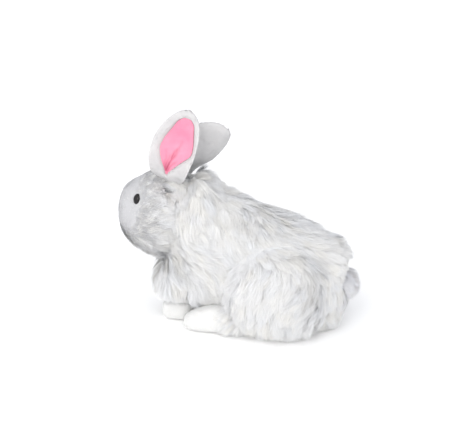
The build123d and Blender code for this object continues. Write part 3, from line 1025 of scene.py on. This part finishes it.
def thread(points, radius, sides=7):
    """Points and faces of one round thread through some places."""
    points = np.asarray(points)
    tangent = unit(np.gradient(points, axis=0))
    up = unit(np.cross(tangent, [0.3, 0.1, 1.0]))
    other = np.cross(tangent, up)
    verts, faces = [], []
    for place, a, b in zip(points, up, other):
        for k in range(sides):
            angle = 2 * math.pi * k / sides
            verts.append(place + radius * (a * math.cos(angle) + b * math.sin(angle)))
    for i in range(len(points) - 1):
        for k in range(sides):
            nxt = (k + 1) % sides
            faces.append((i * sides + k, i * sides + nxt, (i + 1) * sides + nxt, (i + 1) * sides + k))
    faces.append(tuple(range(sides - 1, -1, -1)))
    last = (len(points) - 1) * sides
    faces.append(tuple(last + k for k in range(sides)))
    return verts, faces


def make_nose():
    """Satin stitches that fill a small rounded triangle, and a short stitch below it."""
    verts, faces = [], []
    top, half, low = 4.2 * MM, 6.2 * MM, 4.6 * MM
    stitches = 15
    skin = BVHTree.FromObject(padding, bpy.context.evaluated_depsgraph_get())

    def face_y(x, z):
        """Where the muzzle's skin lies, seen from straight ahead."""
        return skin.ray_cast(Vector((x, -1.0, z)), Vector((0, 1, 0)))[0].y

    for k in range(stitches):
        x = half * (2 * k / (stitches - 1) - 1)
        share = abs(x) / half
        high = nose_place[2] + top * (1 - 0.35 * share ** 2)
        bottom = nose_place[2] - low * (1 - share ** 1.3)
        if high - bottom < 1.0 * MM:
            bottom = high - 1.0 * MM
        path = []
        for step in np.linspace(0, 1, 7):
            z = high + (bottom - high) * step
            swell = 1.9 * MM * math.sin(math.pi * step) ** 0.5 * (1 - 0.4 * share ** 2)
            path.append((x * (1 - 0.12 * step), face_y(x, z) - 1.8 * MM - swell, z))
        v, f = thread(path, 0.52 * MM)
        faces += [tuple(i + len(verts) for i in face) for face in f]
        verts += v
    stem = []
    for step in np.linspace(0, 1, 6):
        z = nose_place[2] - low * 0.8 - 6.5 * MM * step
        stem.append((0.0, face_y(0.0, z) - 2.6 * MM, z))
    v, f = thread(stem, 0.5 * MM)
    faces += [tuple(i + len(verts) for i in face) for face in f]
    verts += v
    return new_object("nose_stitches", verts, faces, NOSE_THREAD)


nose = make_nose()

# ---------------------------------------------------------------- what stands for what
for piece in [padding, *fur_pieces, nose]:
    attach(piece, "torso")
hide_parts(*TRUNK_NODES, *HEAD_NODES, *HAUNCH_NODES)
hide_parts("nose_stitching")
for side, _ in SIDES:
    foot, paw = limbs[f"hind_foot_{side}"], limbs[f"front_paw_{side}"]
    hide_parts(f"hind_foot_cover_{side}", f"hind_foot_stuffing_{side}")
    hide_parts(f"front_paw_cover_{side}", f"front_paw_stuffing_{side}")
    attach(limbs[f"hind_foot_fur_{side}"], "torso")
    for limb, body in (("hind_foot", "torso"), ("front_paw", f"front_paw_{side}")):
        for name in (f"{limb}_{side}", f"{limb}_nap_{side}"):
            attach(limbs[name], body)
    shell, lining, white, pink = ears[side]
    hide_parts(f"ear_back_{side}", f"ear_stiffener_{side}")
    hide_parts(f"ear_lining_{side}")
    for slot_name, pieces in (("short_pile", (shell, white)), ("ear_lining", (lining, pink))):
        for piece in pieces:
            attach(piece, f"ear_{side}")
for piece in (tail, tail_fur):
    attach(piece, "tail")
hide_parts("tail_cover", "tail_stuffing")

# ---------------------------------------------------------------- stage, light and camera
FLOOR_HALF = 30.0
DOME_RADIUS = 20.0
BRIGHT_SIDE = (0.92, -0.1, 0.38)  # where most of the light comes from
LIGHT_BY_SIDE = [  # from the side away from it to the bright side
    (0.0, (0.34, 0.355, 0.38)),
    (0.5, (0.52, 0.53, 0.565)),
    (0.85, (0.95, 0.95, 0.95)),
    (1.0, (1.0, 1.0, 1.0)),
]
WORLD_STRENGTH = 1.45


def studio_material(name, colour, glow):
    """A plain surface that also gives off some white light."""
    material, _, shader = start_material(name)
    shader.inputs["Base Color"].default_value = (*colour, 1)
    shader.inputs["Emission Color"].default_value = (1, 1, 1, 1)
    shader.inputs["Emission Strength"].default_value = glow
    return material, shader


def make_floor():
    """A wide white floor."""
    corners = [(x * FLOOR_HALF, y * FLOOR_HALF, 0) for x, y in ((-1, -1), (1, -1), (1, 1), (-1, 1))]
    floor = new_object("floor", corners, [(0, 1, 2, 3)])
    material, shader = studio_material("studio_floor", (0.97, 0.97, 0.97), 0.12)
    shader.inputs["Roughness"].default_value = 0.9
    floor.data.materials.append(material)


def make_world():
    """Soft light from all round, brightest on one side."""
    world = bpy.data.worlds.new("studio")
    bpy.context.scene.world = world
    world.use_nodes = True
    tree = world.node_tree
    coords = tree.nodes.new("ShaderNodeTexCoord")
    toward = tree.nodes.new("ShaderNodeVectorMath")
    toward.operation = "DOT_PRODUCT"
    toward.inputs[1].default_value = BRIGHT_SIDE
    tree.links.new(coords.outputs["Generated"], toward.inputs[0])
    half = tree.nodes.new("ShaderNodeMath")
    half.operation = "MULTIPLY_ADD"
    half.inputs[1].default_value = 0.5
    half.inputs[2].default_value = 0.5
    tree.links.new(toward.outputs["Value"], half.inputs[0])
    dimmer = ramp_node(tree, half.outputs["Value"], LIGHT_BY_SIDE)
    tree.links.new(dimmer.outputs["Color"], tree.nodes["Background"].inputs["Color"])
    tree.nodes["Background"].inputs["Strength"].default_value = WORLD_STRENGTH


def make_dome():
    """A white backdrop that only the camera sees."""
    bpy.ops.mesh.primitive_uv_sphere_add(segments=48, ring_count=24, radius=DOME_RADIUS)
    dome = bpy.context.object
    dome.name = "studio_dome"
    material, _ = studio_material("studio_dome", (0, 0, 0), 1.0)
    dome.data.materials.append(material)
    dome.visible_diffuse = False
    dome.visible_glossy = False
    dome.visible_transmission = False
    dome.visible_shadow = False


make_floor()
make_world()
make_dome()

target = Vector((0.0, 0.0, 0.134))  # what the light and the camera aim at


def area_light(name, place, size, power, colour=(1, 1, 1)):
    """A soft square light aimed at the rabbit."""
    light = bpy.data.lights.new(name, "AREA")
    light.size = size
    light.energy = power
    light.color = colour
    obj = bpy.data.objects.new(name, light)
    obj.location = place
    obj.rotation_euler = (target - Vector(place)).to_track_quat("-Z", "Y").to_euler()
    bpy.context.scene.collection.objects.link(obj)


area_light("key", (1.5, -0.25, 1.0), 0.8, 6, (1.0, 0.985, 0.96))

CAMERA_AZIMUTH, CAMERA_ELEVATION, CAMERA_DISTANCE = 100.0, 20.0, 1.455


def make_camera():
    """The photo's view: from the rabbit's left, a little behind it and above."""
    data = bpy.data.cameras.new("camera")
    data.sensor_width = 36.0
    data.lens = 85.0
    camera = bpy.data.objects.new("camera", data)
    az, el = math.radians(CAMERA_AZIMUTH), math.radians(CAMERA_ELEVATION)
    way = Vector((math.sin(az) * math.cos(el), -math.cos(az) * math.cos(el), math.sin(el)))
    camera.location = target + way * CAMERA_DISTANCE
    camera.rotation_euler = (-way).to_track_quat("-Z", "Y").to_euler()
    bpy.context.scene.collection.objects.link(camera)
    bpy.context.scene.camera = camera


make_camera()
bpy.context.scene.view_settings.view_transform = "Standard"
